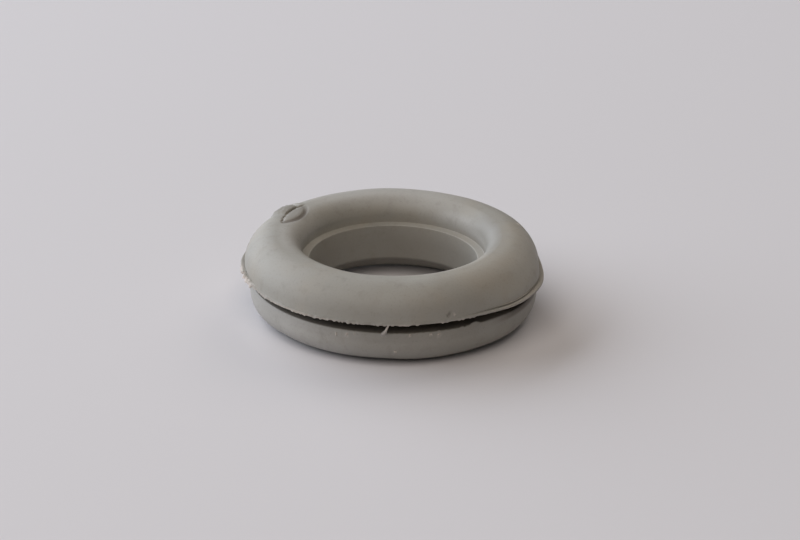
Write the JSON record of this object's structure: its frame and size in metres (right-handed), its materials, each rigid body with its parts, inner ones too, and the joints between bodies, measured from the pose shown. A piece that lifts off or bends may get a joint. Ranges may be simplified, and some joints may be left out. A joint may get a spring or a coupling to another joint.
{
  "type": "rubber grommet",
  "caption": "Grey rubber grommet with two half-round flanges, a narrow panel groove and a plain cable bore.",
  "frame": {"origin": "on the bore axis, at the middle of the panel groove", "axes": "+Z along the bore axis, towards the flange that carries the gate mark and the flash; +X and +Y across the panel, with the gate mark 152 degrees from +X towards +Y"},
  "size_m": [0.026, 0.026, 0.0074],
  "materials": {
    "rubber_grey": "matt"
  },
  "bodies": {
    "root": {"grommet": "rubber_grey"}
  },
  "joints": []
}
